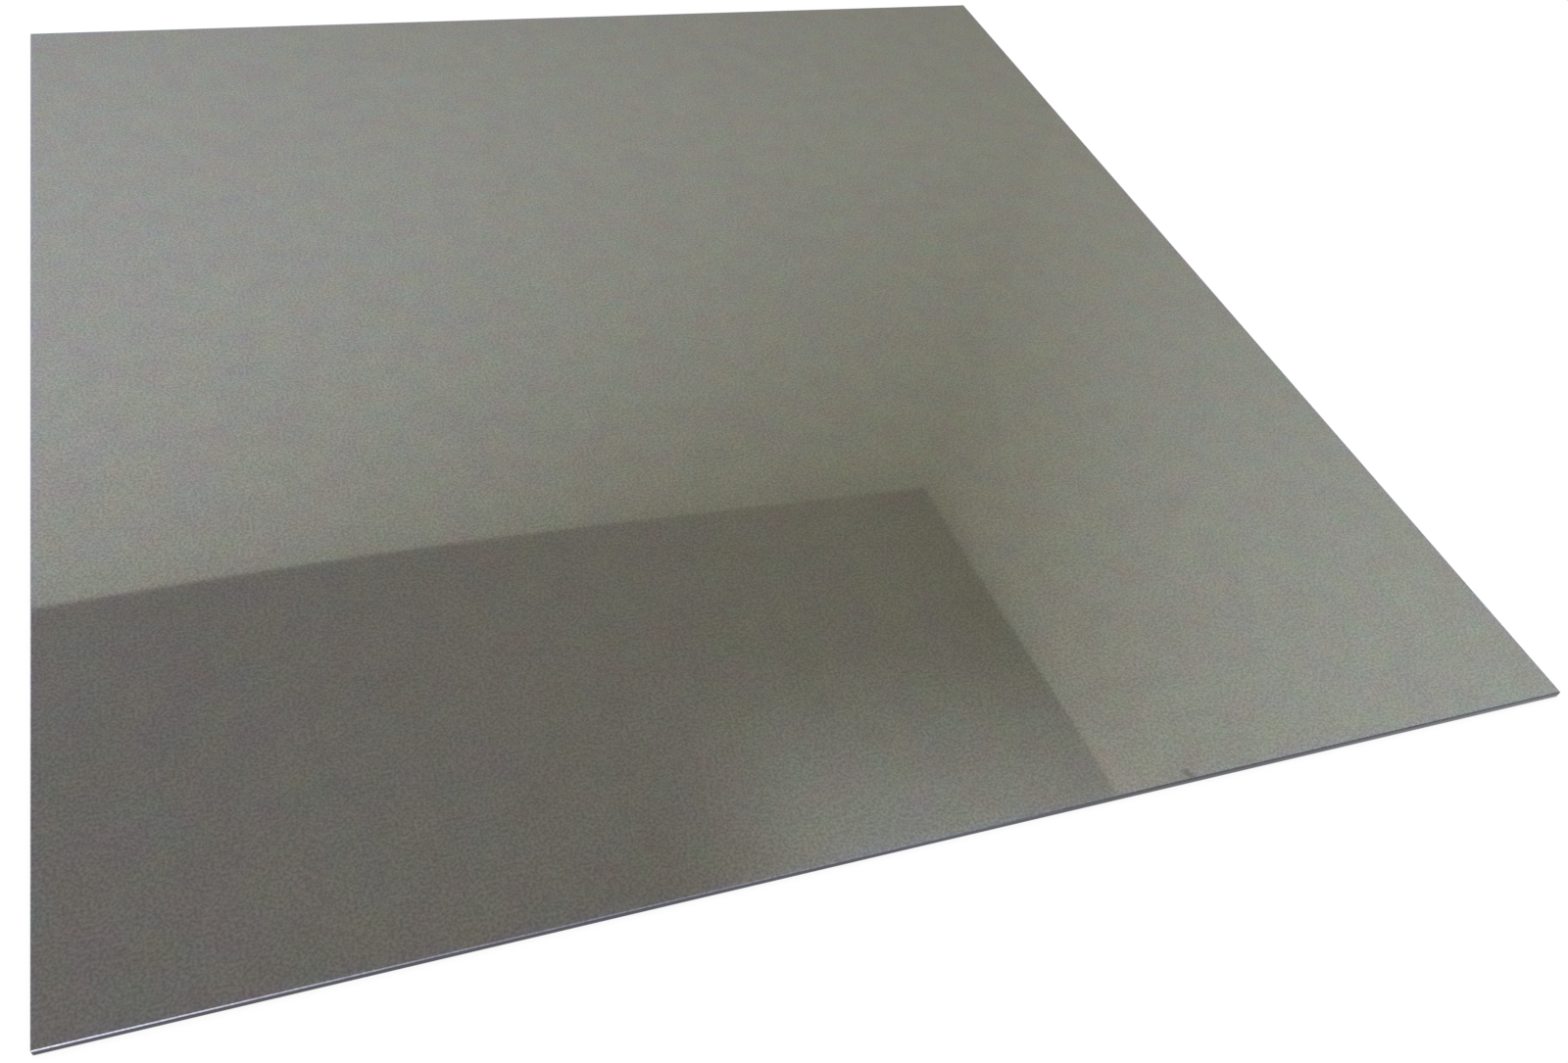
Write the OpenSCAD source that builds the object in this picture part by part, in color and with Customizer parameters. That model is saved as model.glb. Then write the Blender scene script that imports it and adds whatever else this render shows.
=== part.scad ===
// Two-way acrylic mirror sheet: one flat panel, mirror face up.
// The sawn edges are flame polished, so both arrises and the four corners are a little rounded.
// Origin: middle of the back face. +X runs along the front edge, +Y from front to back, +Z up.

/* [Sheet] */
// Length of the front and back edges
sheet_width = 609.6; // [150:0.1:2440]
// Distance from the front edge to the back edge
sheet_depth = 609.6; // [150:0.1:2440]
// Thickness of the acrylic, film included
sheet_thickness = 3.175; // [1.5:0.005:12]

/* [Edges] */
// Radius of the arris round the mirror face
mirror_arris_r = 0.6; // [0.1:0.05:0.65]
// Radius of the arris round the back face
back_arris_r = 0.3; // [0.1:0.05:0.5]
// Radius of each corner, seen from above
corner_r = 0.7; // [0.7:0.1:25]

/* [Hidden] */

// Smoothness of every rounding
$fn = 64;

// Half sizes of the flat middle, which ends where the corner arcs begin
flat_x = sheet_width / 2 - corner_r;
flat_y = sheet_depth / 2 - corner_r;

// Height of the plain band between the two arrises
edge_band = sheet_thickness - mirror_arris_r - back_arris_r;

// Section through the rim, drawn upright: X is outward from the flat middle, Y is height
module rim_section() {
    intersection() {
        square([corner_r, sheet_thickness]);
        union() {
            translate([0, back_arris_r]) square([corner_r, edge_band]);
            square([corner_r - back_arris_r, sheet_thickness / 2]);
            translate([0, sheet_thickness / 2])
                square([corner_r - mirror_arris_r, sheet_thickness / 2]);
            translate([corner_r - mirror_arris_r, sheet_thickness - mirror_arris_r])
                circle(r = mirror_arris_r);
            translate([corner_r - back_arris_r, back_arris_r]) circle(r = back_arris_r);
        }
    }
}

// One straight rim that faces +X, centred on the origin
module rim(length) {
    rotate([90, 0, 0])
        linear_extrude(height = length, center = true) rim_section();
}

// A quarter of a turned rim, between +X and +Y
module rim_corner() {
    rotate_extrude(angle = 90) rim_section();
}

module flat_middle() {
    translate([-flat_x, -flat_y, 0])
        cube([2 * flat_x, 2 * flat_y, sheet_thickness]);
}

module mirror_sheet() {
    color([0.50, 0.51, 0.47])
    union() {
        flat_middle();
        for (turn = [0, 180]) rotate(turn) {
            translate([flat_x, 0, 0]) rim(2 * flat_y);
            translate([0, flat_y, 0]) rotate(90) rim(2 * flat_x);
            translate([flat_x, flat_y, 0]) rim_corner();
            translate([-flat_x, flat_y, 0]) rotate(90) rim_corner();
        }
    }
}

mirror_sheet();
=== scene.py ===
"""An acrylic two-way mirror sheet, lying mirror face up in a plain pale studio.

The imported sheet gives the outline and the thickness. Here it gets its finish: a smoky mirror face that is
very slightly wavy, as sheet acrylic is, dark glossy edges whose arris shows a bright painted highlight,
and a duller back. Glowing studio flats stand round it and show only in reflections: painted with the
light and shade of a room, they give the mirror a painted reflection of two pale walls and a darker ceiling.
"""

import math

import bmesh
import bpy
from mathutils import Matrix, Vector


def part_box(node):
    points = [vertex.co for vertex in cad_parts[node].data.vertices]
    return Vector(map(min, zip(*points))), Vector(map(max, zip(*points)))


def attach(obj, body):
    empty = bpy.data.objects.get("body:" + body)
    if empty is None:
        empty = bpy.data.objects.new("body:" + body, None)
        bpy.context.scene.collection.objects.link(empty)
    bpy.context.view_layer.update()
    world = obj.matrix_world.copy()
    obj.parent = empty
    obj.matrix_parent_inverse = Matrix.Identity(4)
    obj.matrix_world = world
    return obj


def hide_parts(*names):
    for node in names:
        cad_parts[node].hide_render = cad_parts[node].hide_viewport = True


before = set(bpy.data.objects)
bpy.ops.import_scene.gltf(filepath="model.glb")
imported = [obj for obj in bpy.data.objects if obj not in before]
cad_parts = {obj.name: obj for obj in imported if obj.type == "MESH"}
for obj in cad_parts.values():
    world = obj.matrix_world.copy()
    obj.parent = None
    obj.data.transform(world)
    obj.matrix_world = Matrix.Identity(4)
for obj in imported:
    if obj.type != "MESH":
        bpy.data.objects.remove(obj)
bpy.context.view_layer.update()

# Sizes of the sheet in metres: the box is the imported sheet's, the radii are those of the part's source
NODE = "mirror_sheet"
low, high = (Vector(corner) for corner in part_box(NODE))
HALF_X = (high.x - low.x) / 2
HALF_Y = (high.y - low.y) / 2
THICKNESS = high.z - low.z
MIRROR_ARRIS_R = 0.0006
BACK_ARRIS_R = 0.0003
CORNER_R = 0.0007

# The corners of a rectangle, anticlockwise
CORNERS = ((-1, -1), (1, -1), (1, 1), (-1, 1))

# Steps of each corner and of each arris, and how many steps of the upper arris the film covers
CORNER_STEPS = 8
ARRIS_STEPS = 12
FILMED_STEPS = 10

# The sheet's finishes, in the order of its material slots
MIRROR, EDGE, BACK = range(3)

# The camera, fitted to the four edges of the sheet in the photograph
CAMERA_AT = (-0.2138, -0.4993, 0.4296)
CAMERA_AZIMUTH = 25.60
CAMERA_BELOW_LEVEL = 47.06
CAMERA_ROLL = 10.77
LENS_MM = 30.94
SENSOR_MM = 36.0
SHIFT_X = 0.0591
CLIP_START = 0.01

# Scale and detail of each noise
GRAIN_NOISE = (900.0, 1.0)
SCUFF_NOISE = (900.0, 2.0)
STREAK_NOISE = (90.0, 3.0)
PATCH_NOISE = (75.0, 3.0)
HAZE_NOISE = (60.0, 4.0)
SMEAR_NOISE = (50.0, 4.0)
BLOTCH_NOISE = (7.0, 2.0)

# What the mirror face gives back of each colour, and how far its grain and its patchy tint stray from that
MIRROR_TINT = (0.498, 0.507, 0.477)
GRAIN = 0.20
GRAIN_ENDS = (0.2, 0.8)
PATCHES = 0.13

# A noise's colours have their middle at one half: this brings it to one, which tints nothing
MIDDLE_TO_ONE = (2.0, 2.0, 2.0)

# The film looks a little bluer within this reach of the sheet's rim
RIM_REACH = 0.0055
RIM_TINT = (0.995, 1.0, 1.13)

# Waviness of the mirror face: its height, and the length and crest of the waves along X and Y
WAVE_HEIGHT = 0.00054
WAVE_LENGTH = (0.733, 0.511)
WAVE_CREST = (0.186, -0.342)

# A small scuff by the front edge, to the right of the middle: its place, half sizes, turn and look
SCUFF_AT = (0.1131, -0.3022)
SCUFF_HALF = (0.0026, 0.0042)
SCUFF_TURN = math.radians(28)
SCUFF_COLOUR = (0.36, 0.36, 0.35)
SCUFF_ROUGHNESS = 0.25
SCUFF_RAGGED = 0.9
SCUFF_ENDS = (0.7, 1.5)

# The polished edge: fine streaks run along it, and what it shows of the inside is dark and a little blue
ACRYLIC_IOR = 1.49
EDGE_SPECULAR = 0.3
EDGE_DARK = (0.006, 0.009, 0.028)
EDGE_PALE = (0.019, 0.023, 0.052)
STREAKS_UP = 12.0

# The back: film seen through acrylic
BACK_DARK = (0.21, 0.215, 0.21)
BACK_PALE = (0.25, 0.255, 0.245)
BACK_COAT_ROUGHNESS = 0.02

# Roughness of each finish from its clearest to its dullest, over the noise values that most points have
HAZE = (0.028, 0.036)
EDGE_ROUGHNESS = (0.10, 0.18)
BACK_ROUGHNESS = (0.05, 0.09)
MOST_NOISE = (0.3, 0.8)

# The studio flats' places
WALL_BACK_Y = 1.2855
WALL_RIGHT_X = 1.1986
WALL_LEFT_X = -3.0
WALL_FRONT_Y = -2.8
CEILING_Z = 1.65

# How far in front of the sheet the glowing card that lies on the floor begins: its painted light shows in
# the front arris as a painted highlight
CARD_GAP = 0.003

# The painted light and shade in front of the sheet, which its front arris shows from left to right as a
# painted reflection
DAYLIGHT = (1.92, 1.86, 2.10)
HALF_LIGHT = (0.480, 0.460, 0.510)
DIM = (0.19, 0.19, 0.20)
DAYLIGHT_FALL = 2.0

# Where along X the painted daylight fades to half light, and half light to dim, on what lies in front of the
# sheet
CARD_FADES = (-0.391, -0.072), (0.02, 0.09)
CEILING_FADES = (-1.05, 0.45), (0.85, 1.20)
FRONT_WALL_FADES = (-1.40, 0.60), (1.15, 1.60)

# Painted shade: the walls darken a little towards the floor, and under the ceiling each wall takes its own
# painted shade, which on the right wall turns to painted light towards the front
FOOT_SHADE = (0.89, 0.88, 0.89)
FOOT_HEIGHTS = (0.35, 0.80)
HEAD_HEIGHTS = (1.54, 1.65)

# The back wall: its tones from left to right, low and high, which paint the light and shade on it, and where
# along X and Z they change
BACK_WALL_LOW = (0.663, 0.665, 0.690), (0.429, 0.424, 0.373)
BACK_WALL_HIGH = (0.515, 0.503, 0.480), (0.315, 0.299, 0.228)
BACK_WALL_ALONG = (-1.175, 1.177)
BACK_WALL_UP = (0.822, 1.974)
# Painted shade under the ceiling of the back wall
BACK_WALL_HEAD_SHADE = (0.95, 0.95, 0.95)

# The right wall: its tones from front to back, low and high, which paint the light and shade on it, and
# where along Y and Z they change
RIGHT_WALL_LOW = (0.603, 0.619, 0.596), (0.447, 0.437, 0.387)
RIGHT_WALL_HIGH = (0.558, 0.558, 0.504), (0.330, 0.312, 0.249)
RIGHT_WALL_ALONG = (-0.225, 1.367)
RIGHT_WALL_UP = (0.775, 1.808)
# Under the ceiling of the right wall: painted light towards the front, painted shade towards the back, and
# where along Y the one gives way to the other
RIGHT_WALL_HEADS = (1.08, 1.08, 1.08), (0.91, 0.91, 0.91)
RIGHT_WALL_HEADS_ALONG = (0.45, 0.90)

# Painted light: a faint glow high on the right wall towards the front; painted shade: the dim stretch in
# front of that wall
GLOW = (1.05, 1.05, 1.05)
GLOW_ALONG = (0.42, 0.60)
GLOW_UP = (1.36, 1.50)
DIM_FOOT = (0.340, 0.340, 0.335)
DIM_UP = (0.15, 0.85)
DIM_FROM_HALF_LIGHT = (-2.40, -2.10)
DIM_TO_WALL = (-0.35, 0.0)

# The ceiling's painted light and shade: its tones from left to right, a pool of light at the front right,
# painted shade in a darker stretch by the right wall, painted light in a paler corner at the back left, and
# where the painted daylight takes over towards the front
CEILING_TONES = (0.279, 0.260, 0.264), (0.263, 0.247, 0.203)
CEILING_ALONG = (-1.10, 1.30)
PATCH = (0.489, 0.496, 0.474)
PATCH_X = (0.30, 0.69)
PATCH_Y = (0.20, 0.945)
CEILING_SHADE = (0.935, 0.935, 0.935)
CEILING_SHADE_X = (0.96, 1.20)
CEILING_CORNER_LIGHT = (1.05, 1.04, 1.05)
CEILING_CORNER_LIGHT_X = (-0.62, -0.42)
CEILING_CORNER_LIGHT_Y = (0.90, 1.20)
CEILING_FRONT_Y = (-1.05, -0.60)

# The left wall's painted light and shade, from low to high
LEFT_WALL_TONES = (0.50, 0.505, 0.49), (0.30, 0.30, 0.28)
LEFT_WALL_UP = (0.2, 1.6)

# The floor: how much of its look is plain white, in sight and in reflections, where it casts no light
WHITE_SHARE = 0.84
WHITE_STRENGTH = 1.04
WHITE = (1.0, 1.0, 1.0)
FLOOR_GREY = (0.90, 0.90, 0.90)
FLOOR_ROUGHNESS = 0.9
FLOOR_REACH = 30.0
FLOOR_Z = -0.0001

# The lights: the surround's strength as a light, and the soft lamp's strength, spread and side
SURROUND = 0.75
LAMP = 0.85
LAMP_SPREAD = math.radians(50)
LAMP_FROM = Vector((-1.2, 0.6, 2.4))


def make_camera():
    data = bpy.data.cameras.new("camera")
    data.lens = LENS_MM
    data.sensor_width = SENSOR_MM
    data.shift_x = SHIFT_X
    data.clip_start = CLIP_START
    camera = bpy.data.objects.new("camera", data)
    bpy.context.collection.objects.link(camera)
    turn = Matrix.Rotation(math.radians(-CAMERA_AZIMUTH), 4, "Z")
    tilt = Matrix.Rotation(math.radians(90 - CAMERA_BELOW_LEVEL), 4, "X")
    roll = Matrix.Rotation(math.radians(CAMERA_ROLL), 4, "Z")
    camera.matrix_world = Matrix.Translation(CAMERA_AT) @ turn @ tilt @ roll
    bpy.context.scene.camera = camera


class Nodes:
    """A node tree that is built up socket by socket."""

    # Which inputs and which output of a mix node are its colours
    MIX_A, MIX_B, MIXED = 6, 7, 2

    def __init__(self, tree):
        self.tree = tree

    def add(self, kind, **settings):
        node = self.tree.nodes.new(kind)
        for name, value in settings.items():
            setattr(node, name, value)
        return node

    def feed(self, socket, value):
        """Links a socket, or sets a constant."""
        if isinstance(value, bpy.types.NodeSocket):
            self.tree.links.new(value, socket)
        elif isinstance(value, tuple) and len(value) == 3 and socket.type == "RGBA":
            socket.default_value = (*value, 1)
        else:
            socket.default_value = value

    def math(self, operation, a, b=0.0):
        node = self.add("ShaderNodeMath", operation=operation)
        self.feed(node.inputs[0], a)
        self.feed(node.inputs[1], b)
        return node.outputs[0]

    def vector(self, operation, a, name, b):
        """A vector changed by the input of that name."""
        node = self.add("ShaderNodeVectorMath", operation=operation)
        self.feed(node.inputs[0], a)
        self.feed(node.inputs[name], b)
        return node.outputs[0]

    def ramp(self, value, start, end, first=0.0, last=1.0):
        """A smooth ramp of the value: first up to start, last from end on."""
        node = self.add("ShaderNodeMapRange", interpolation_type="SMOOTHSTEP")
        self.feed(node.inputs["Value"], value)
        self.feed(node.inputs["From Min"], start)
        self.feed(node.inputs["From Max"], end)
        self.feed(node.inputs["To Min"], first)
        self.feed(node.inputs["To Max"], last)
        return node.outputs["Result"]

    def fade(self, value, start, end):
        """1 up to start, 0 from end on."""
        return self.ramp(value, start, end, 1.0, 0.0)

    def mix(self, share, a, b, how="MIX"):
        """Two colours mixed, or multiplied, by a share."""
        node = self.add("ShaderNodeMix", data_type="RGBA", blend_type=how)
        self.feed(node.inputs[0], share)
        self.feed(node.inputs[self.MIX_A], a)
        self.feed(node.inputs[self.MIX_B], b)
        return node.outputs[self.MIXED]

    def times(self, colour, tint):
        return self.mix(1.0, colour, tint, "MULTIPLY")

    def shaded(self, colour, share, shade):
        """The colour, multiplied by the shade as far as the share says."""
        return self.mix(share, colour, self.times(colour, shade))

    def noise(self, vector, scale, detail, output="Fac"):
        node = self.add("ShaderNodeTexNoise")
        self.feed(node.inputs["Vector"], vector)
        self.feed(node.inputs["Scale"], scale)
        self.feed(node.inputs["Detail"], detail)
        return node.outputs[output]

    def place(self):
        """Where on the piece, in metres."""
        return self.add("ShaderNodeTexCoord").outputs["Object"]

    def axes(self, vector):
        node = self.add("ShaderNodeSeparateXYZ")
        self.feed(node.inputs[0], vector)
        return node.outputs

    def gloss(self, **inputs):
        """A principled shader with the named inputs."""
        node = self.add("ShaderNodeBsdfPrincipled")
        for name, value in inputs.items():
            self.feed(node.inputs[name.replace("_", " ")], value)
        return node.outputs[0]

    def seen(self):
        """1 for the rays that show a thing to the camera, straight, mirrored or through glass."""
        rays = self.add("ShaderNodeLightPath").outputs
        mirrored = self.math("MAXIMUM", rays["Is Camera Ray"], rays["Is Glossy Ray"])
        return self.math("MAXIMUM", mirrored, rays["Is Transmission Ray"])


class Material(Nodes):
    """A material that is built up in the same way."""

    def __init__(self, name):
        self.material = bpy.data.materials.new(name)
        self.material.use_nodes = True
        super().__init__(self.material.node_tree)
        self.tree.nodes.clear()

    def done(self, shader):
        self.feed(self.add("ShaderNodeOutputMaterial").inputs[0], shader)
        return self.material


def waves(nodes, place):
    """The normal of a face that swells and sinks by a fraction of a millimetre."""
    height = 1.0
    for axis, length, crest in zip(nodes.axes(place), WAVE_LENGTH, WAVE_CREST):
        angle = nodes.math("MULTIPLY", nodes.math("SUBTRACT", axis, crest), math.tau / length)
        height = nodes.math("MULTIPLY", height, nodes.math("COSINE", angle))
    bump = nodes.add("ShaderNodeBump")
    nodes.feed(bump.inputs["Distance"], WAVE_HEIGHT)
    nodes.feed(bump.inputs["Height"], height)
    return bump.outputs[0]


def scuff(nodes, place):
    """1 on the scuffed spot by the front edge, 0 elsewhere, ragged between."""
    turned = nodes.add("ShaderNodeMapping", vector_type="TEXTURE")
    nodes.feed(turned.inputs["Vector"], place)
    turned.inputs["Location"].default_value = (*SCUFF_AT, 0)
    turned.inputs["Rotation"].default_value = (0, 0, SCUFF_TURN)
    turned.inputs["Scale"].default_value = (*SCUFF_HALF, 1)
    reach = nodes.add("ShaderNodeVectorMath", operation="LENGTH")
    nodes.feed(reach.inputs[0], nodes.vector("MULTIPLY", turned.outputs[0], 1, (1, 1, 0)))
    stray = nodes.math("MULTIPLY", nodes.noise(place, *SCUFF_NOISE), SCUFF_RAGGED)
    return nodes.fade(nodes.math("ADD", reach.outputs["Value"], stray), *SCUFF_ENDS)


def rimward(nodes, place):
    """1 at the rim of the sheet, 0 from RIM_REACH inward."""
    x, y, _ = nodes.axes(place)
    across = nodes.math("SUBTRACT", HALF_X, nodes.math("ABSOLUTE", x))
    along = nodes.math("SUBTRACT", HALF_Y, nodes.math("ABSOLUTE", y))
    return nodes.fade(nodes.math("MINIMUM", across, along), 0.0, RIM_REACH)


def film_colour(nodes, place):
    """The smoky grey of the film, with a fine grain, faint patches of pink and green and a bluer rim."""
    patches = nodes.times(nodes.noise(place, *PATCH_NOISE, "Color"), MIDDLE_TO_ONE)
    patchy = nodes.mix(PATCHES, MIRROR_TINT, nodes.times(patches, MIRROR_TINT))
    grain = nodes.ramp(nodes.noise(place, *GRAIN_NOISE), *GRAIN_ENDS, 1 - GRAIN, 1 + GRAIN)
    grainy = nodes.vector("SCALE", patchy, "Scale", grain)
    return nodes.shaded(grainy, rimward(nodes, place), RIM_TINT)


def mirror_material():
    """The semi-reflective face, a little hazy, with a scuff by the front edge."""
    nodes = Material("mirror_face")
    place = nodes.place()
    mark = scuff(nodes, place)
    haze = nodes.ramp(nodes.noise(place, *HAZE_NOISE), *MOST_NOISE, *HAZE)
    shader = nodes.gloss(
        Metallic=1.0,
        Base_Color=nodes.mix(mark, film_colour(nodes, place), SCUFF_COLOUR),
        Roughness=nodes.math("ADD", haze, nodes.math("MULTIPLY", mark, SCUFF_ROUGHNESS)),
        Normal=waves(nodes, place),
    )
    return nodes.done(shader)


def edge_material():
    """The polished edge: clear acrylic that shows the dark bluish inside of the sheet."""
    nodes = Material("acrylic_edge")
    drawn = nodes.add("ShaderNodeMapping")
    nodes.feed(drawn.inputs["Vector"], nodes.place())
    drawn.inputs["Scale"].default_value = (1, 1, STREAKS_UP)
    streaks = nodes.noise(drawn.outputs[0], *STREAK_NOISE)
    shader = nodes.gloss(
        IOR=ACRYLIC_IOR,
        Specular_IOR_Level=EDGE_SPECULAR,
        Base_Color=nodes.mix(streaks, EDGE_DARK, EDGE_PALE),
        Roughness=nodes.ramp(streaks, *MOST_NOISE, *EDGE_ROUGHNESS),
    )
    return nodes.done(shader)


def back_material():
    """The back: the film seen through the acrylic, darker and softer."""
    nodes = Material("sheet_back")
    place = nodes.place()
    shader = nodes.gloss(
        Metallic=1.0,
        Base_Color=nodes.mix(nodes.noise(place, *BLOTCH_NOISE), BACK_DARK, BACK_PALE),
        Roughness=nodes.ramp(nodes.noise(place, *SMEAR_NOISE), *MOST_NOISE, *BACK_ROUGHNESS),
        Coat_Weight=1.0,
        Coat_IOR=ACRYLIC_IOR,
        Coat_Roughness=BACK_COAT_ROUGHNESS,
    )
    return nodes.done(shader)


def outline(inset):
    """The outline seen from above, anticlockwise, drawn in by inset."""
    radius = CORNER_R - inset
    points = []
    for k, (sx, sy) in enumerate(CORNERS):
        centre = Vector((sx * (HALF_X - CORNER_R), sy * (HALF_Y - CORNER_R)))
        for step in range(CORNER_STEPS + 1):
            angle = math.pi + (k + step / CORNER_STEPS) * math.pi / 2
            points.append(centre + radius * Vector((math.cos(angle), math.sin(angle))))
    return points


def rim_profile():
    """(inset, height, whether the film reaches there) from the mirror face's flat down to the back's."""
    turns = [step / ARRIS_STEPS * math.pi / 2 for step in range(ARRIS_STEPS + 1)]
    profile = []
    for step, angle in enumerate(turns):
        inset = MIRROR_ARRIS_R * (1 - math.sin(angle))
        height = THICKNESS - MIRROR_ARRIS_R * (1 - math.cos(angle))
        profile.append((inset, height, step <= FILMED_STEPS))
    for angle in turns:
        inset = BACK_ARRIS_R * (1 - math.cos(angle))
        height = BACK_ARRIS_R * (1 - math.sin(angle))
        profile.append((inset, height, False))
    return profile


def sheet_mesh():
    """The whole sheet as one closed mesh: a ring of points for each step of the rim, and two flat faces."""
    mesh = bmesh.new()
    profile = rim_profile()
    rings = [[mesh.verts.new((*point, height)) for point in outline(inset)] for inset, height, _ in profile]
    mesh.faces.new(rings[0]).material_index = MIRROR
    mesh.faces.new(rings[-1][::-1]).material_index = BACK
    for upper, lower, (_, _, filmed) in zip(rings, rings[1:], profile[1:]):
        for k, here in enumerate(upper):
            after = (k + 1) % len(upper)
            face = mesh.faces.new((here, lower[k], lower[after], upper[after]))
            face.smooth = True
            face.material_index = MIRROR if filmed else EDGE
    data = bpy.data.meshes.new("sheet")
    mesh.to_mesh(data)
    mesh.free()
    return data


def make_sheet():
    data = sheet_mesh()
    for material in (mirror_material(), edge_material(), back_material()):
        data.materials.append(material)
    sheet = bpy.data.objects.new("sheet", data)
    bpy.context.collection.objects.link(sheet)
    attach(sheet, "root")
    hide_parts(NODE)


def plane(name, corners, material):
    """A stage plane through four corners."""
    data = bpy.data.meshes.new(name)
    data.from_pydata(corners, [], [(0, 1, 2, 3)])
    data.materials.append(material)
    made = bpy.data.objects.new(name, data)
    bpy.context.collection.objects.link(made)
    return made


def flat_material(name, paint):
    """A studio flat that glows softly, though it is no lamp: paint(nodes, x, y, z) gives its colour, the
    painted light and shade that reflections show.
    """
    nodes = Material(name)
    where = nodes.add("ShaderNodeNewGeometry").outputs["Position"]
    light = nodes.add("ShaderNodeEmission")
    nodes.feed(light.inputs["Color"], paint(nodes, *nodes.axes(where)))
    return nodes.done(light.outputs[0])


def paint_wall(nodes, along, ends, low_tones, up, heights, high_tones, head):
    """A wall's painted light and shade: from one colour to the other along its length, below and again
    above, with painted shade at its foot and, under the ceiling, the painted change of light that head
    gives.
    """
    shift = nodes.ramp(along, *ends)
    wall = nodes.mix(nodes.ramp(up, *heights), nodes.mix(shift, *low_tones), nodes.mix(shift, *high_tones))
    # Painted shade towards the floor, then the painted change of light under the ceiling
    footed = nodes.shaded(wall, nodes.fade(up, *FOOT_HEIGHTS), FOOT_SHADE)
    return nodes.shaded(footed, nodes.ramp(up, *HEAD_HEIGHTS), head)


def paint_front(nodes, x, bright_ends, dim_ends):
    """The painted light of what lies before the sheet: daylight at the left that soon fades, half light, and
    dim at the right.
    """
    day = nodes.math("POWER", nodes.fade(x, *bright_ends), DAYLIGHT_FALL)
    return nodes.mix(nodes.ramp(x, *dim_ends), nodes.mix(day, HALF_LIGHT, DAYLIGHT), DIM)


def paint_back_wall(nodes, x, y, z):
    tones = BACK_WALL_LOW, z, BACK_WALL_UP, BACK_WALL_HIGH
    return paint_wall(nodes, x, BACK_WALL_ALONG, *tones, BACK_WALL_HEAD_SHADE)


def paint_right_wall(nodes, x, y, z):
    """The wall with its painted glow, and before it a stretch of painted dim light that ends in painted half
    light.
    """
    head = nodes.mix(nodes.ramp(y, *RIGHT_WALL_HEADS_ALONG), *RIGHT_WALL_HEADS)
    tones = RIGHT_WALL_LOW, z, RIGHT_WALL_UP, RIGHT_WALL_HIGH
    wall = paint_wall(nodes, y, RIGHT_WALL_ALONG, *tones, head)
    glow = nodes.math("MULTIPLY", nodes.fade(y, *GLOW_ALONG), nodes.ramp(z, *GLOW_UP))
    glowing = nodes.shaded(wall, glow, GLOW)
    dim = nodes.mix(nodes.ramp(z, *DIM_UP), DIM_FOOT, DIM)
    before = nodes.mix(nodes.ramp(y, *DIM_FROM_HALF_LIGHT), HALF_LIGHT, dim)
    return nodes.mix(nodes.ramp(y, *DIM_TO_WALL), before, glowing)


def paint_ceiling(nodes, x, y, z):
    # Painted light and shade: a pool of light at the front right, shade by the right wall, a paler corner at
    # the back left, daylight towards the front
    plain = nodes.mix(nodes.ramp(x, *CEILING_ALONG), *CEILING_TONES)
    patch = nodes.math("MULTIPLY", nodes.ramp(x, *PATCH_X), nodes.fade(y, *PATCH_Y))
    patched = nodes.mix(patch, plain, PATCH)
    darker = nodes.shaded(patched, nodes.ramp(x, *CEILING_SHADE_X), CEILING_SHADE)
    lift = nodes.math("MULTIPLY", nodes.fade(x, *CEILING_CORNER_LIGHT_X), nodes.ramp(y, *CEILING_CORNER_LIGHT_Y))
    lifted = nodes.shaded(darker, lift, CEILING_CORNER_LIGHT)
    return nodes.mix(nodes.fade(y, *CEILING_FRONT_Y), lifted, paint_front(nodes, x, *CEILING_FADES))


def paint_front_wall(nodes, x, y, z):
    return paint_front(nodes, x, *FRONT_WALL_FADES)


def paint_front_card(nodes, x, y, z):
    # Painted light on the card, which the front arris shows as a painted highlight
    return paint_front(nodes, x, *CARD_FADES)


def paint_left_wall(nodes, x, y, z):
    return nodes.mix(nodes.ramp(z, *LEFT_WALL_UP), *LEFT_WALL_TONES)


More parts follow.
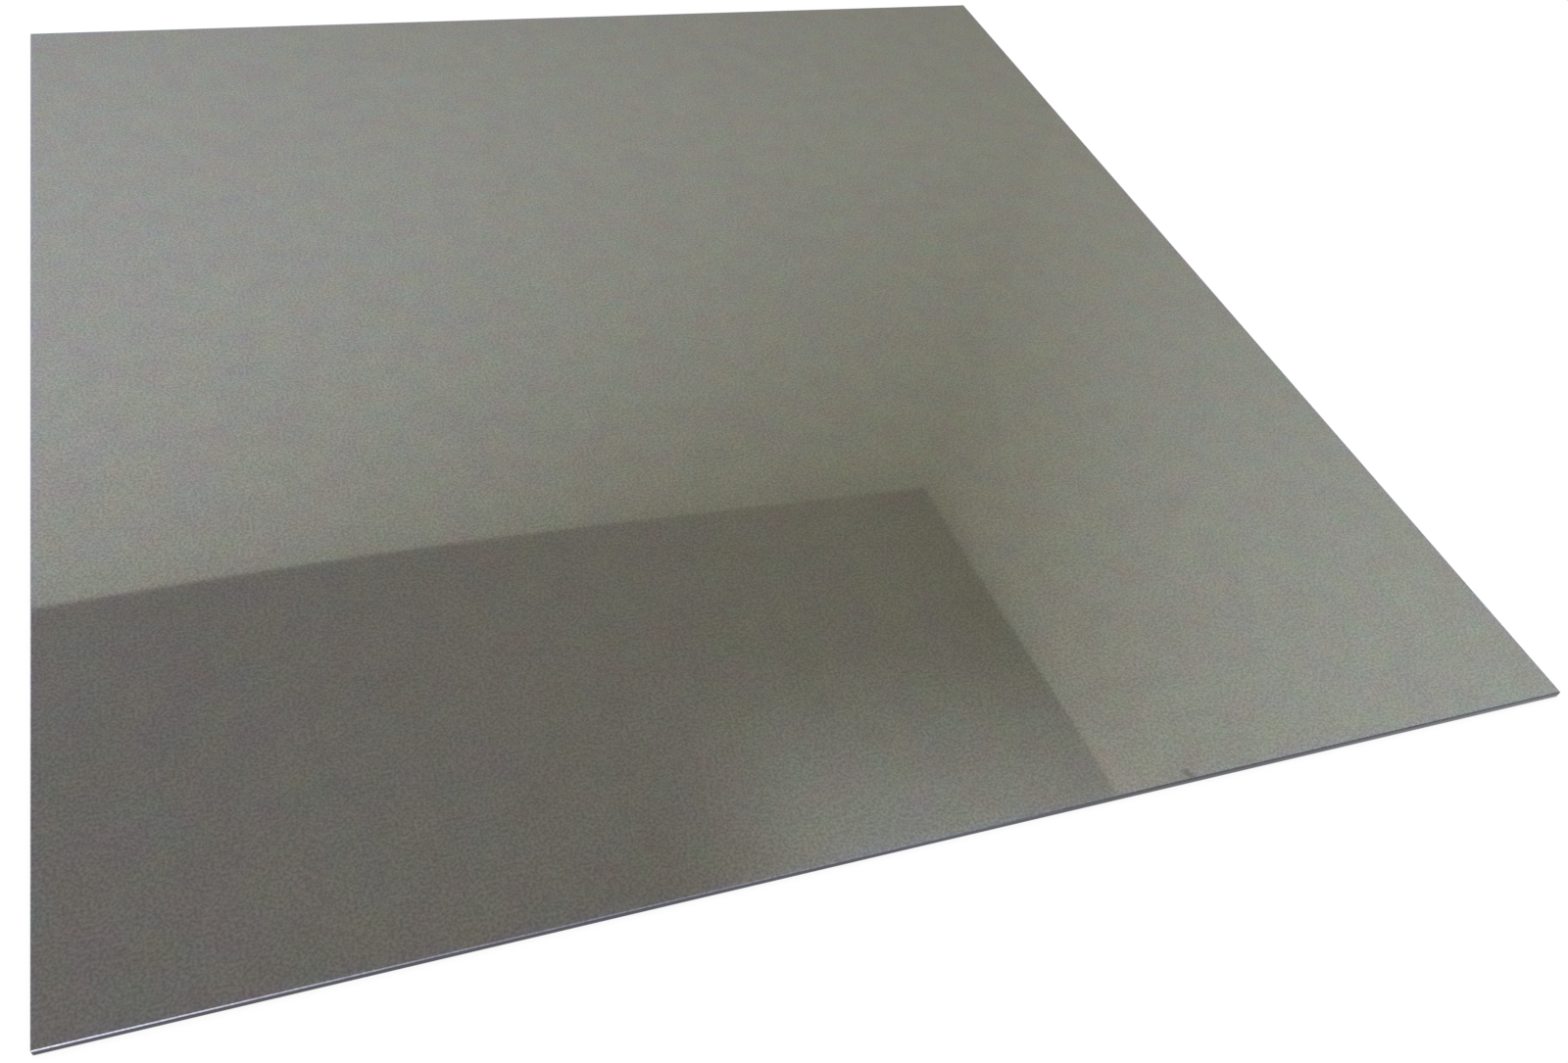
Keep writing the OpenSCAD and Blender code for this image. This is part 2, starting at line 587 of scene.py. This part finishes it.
def make_flats():
    """Four walls, a ceiling and a card on the floor before the sheet, all glowing with painted light and
    shade, which only reflections show.
    """
    x0, x1, y0, y1, z1 = WALL_LEFT_X, WALL_RIGHT_X, WALL_FRONT_Y, WALL_BACK_Y, CEILING_Z
    near = -HALF_Y - CARD_GAP
    flats = (
        ("wall_back", [(x0, y1, 0), (x1, y1, 0), (x1, y1, z1), (x0, y1, z1)], paint_back_wall),
        ("wall_right", [(x1, y1, 0), (x1, y0, 0), (x1, y0, z1), (x1, y1, z1)], paint_right_wall),
        ("wall_front", [(x1, y0, 0), (x0, y0, 0), (x0, y0, z1), (x1, y0, z1)], paint_front_wall),
        ("wall_left", [(x0, y0, 0), (x0, y1, 0), (x0, y1, z1), (x0, y0, z1)], paint_left_wall),
        ("ceiling", [(x0, y0, z1), (x1, y0, z1), (x1, y1, z1), (x0, y1, z1)], paint_ceiling),
        ("front_card", [(x0, y0, 0), (x1, y0, 0), (x1, near, 0), (x0, near, 0)], paint_front_card),
    )
    for name, corners, paint in flats:
        flat = plane(name, corners, flat_material(name, paint))
        flat.visible_camera = False
        flat.visible_diffuse = False
        flat.visible_transmission = False
        flat.visible_volume_scatter = False
        flat.visible_shadow = False


def make_floor():
    """A pale matt floor, which looks partly lit, with its shadows, and partly plain white."""
    nodes = Material("floor")
    white = nodes.add("ShaderNodeEmission")
    nodes.feed(white.inputs["Color"], WHITE)
    nodes.feed(white.inputs["Strength"], WHITE_STRENGTH)
    matt = nodes.gloss(Base_Color=FLOOR_GREY, Roughness=FLOOR_ROUGHNESS, Specular_IOR_Level=0.0)
    blend = nodes.add("ShaderNodeMixShader")
    nodes.feed(blend.inputs[0], nodes.math("MULTIPLY", nodes.seen(), WHITE_SHARE))
    nodes.feed(blend.inputs[1], matt)
    nodes.feed(blend.inputs[2], white.outputs[0])
    corners = [(sx * FLOOR_REACH, sy * FLOOR_REACH, FLOOR_Z) for sx, sy in CORNERS]
    plane("floor", corners, nodes.done(blend.outputs[0]))


def make_surround():
    """Even light from all round, which looks plain white."""
    world = bpy.data.worlds.new("surround")
    world.use_nodes = True
    nodes = Nodes(world.node_tree)
    level = nodes.add("ShaderNodeMapRange")
    nodes.feed(level.inputs["Value"], nodes.seen())
    nodes.feed(level.inputs["To Min"], SURROUND)
    nodes.feed(level.inputs["To Max"], 1.0)
    background = world.node_tree.nodes["Background"]
    nodes.feed(background.inputs["Color"], WHITE)
    nodes.feed(background.inputs["Strength"], level.outputs["Result"])
    bpy.context.scene.world = world


def make_lamp():
    """A soft light from the upper left, which reflections don't show."""
    lamp = bpy.data.lights.new("soft_lamp", "SUN")
    lamp.energy = LAMP
    lamp.angle = LAMP_SPREAD
    holder = bpy.data.objects.new("soft_lamp", lamp)
    holder.rotation_euler = LAMP_FROM.to_track_quat("Z", "Y").to_euler()
    holder.visible_glossy = False
    bpy.context.collection.objects.link(holder)


make_camera()
make_sheet()
make_floor()
make_flats()
make_surround()
make_lamp()

bpy.context.scene.view_settings.view_transform = "Standard"
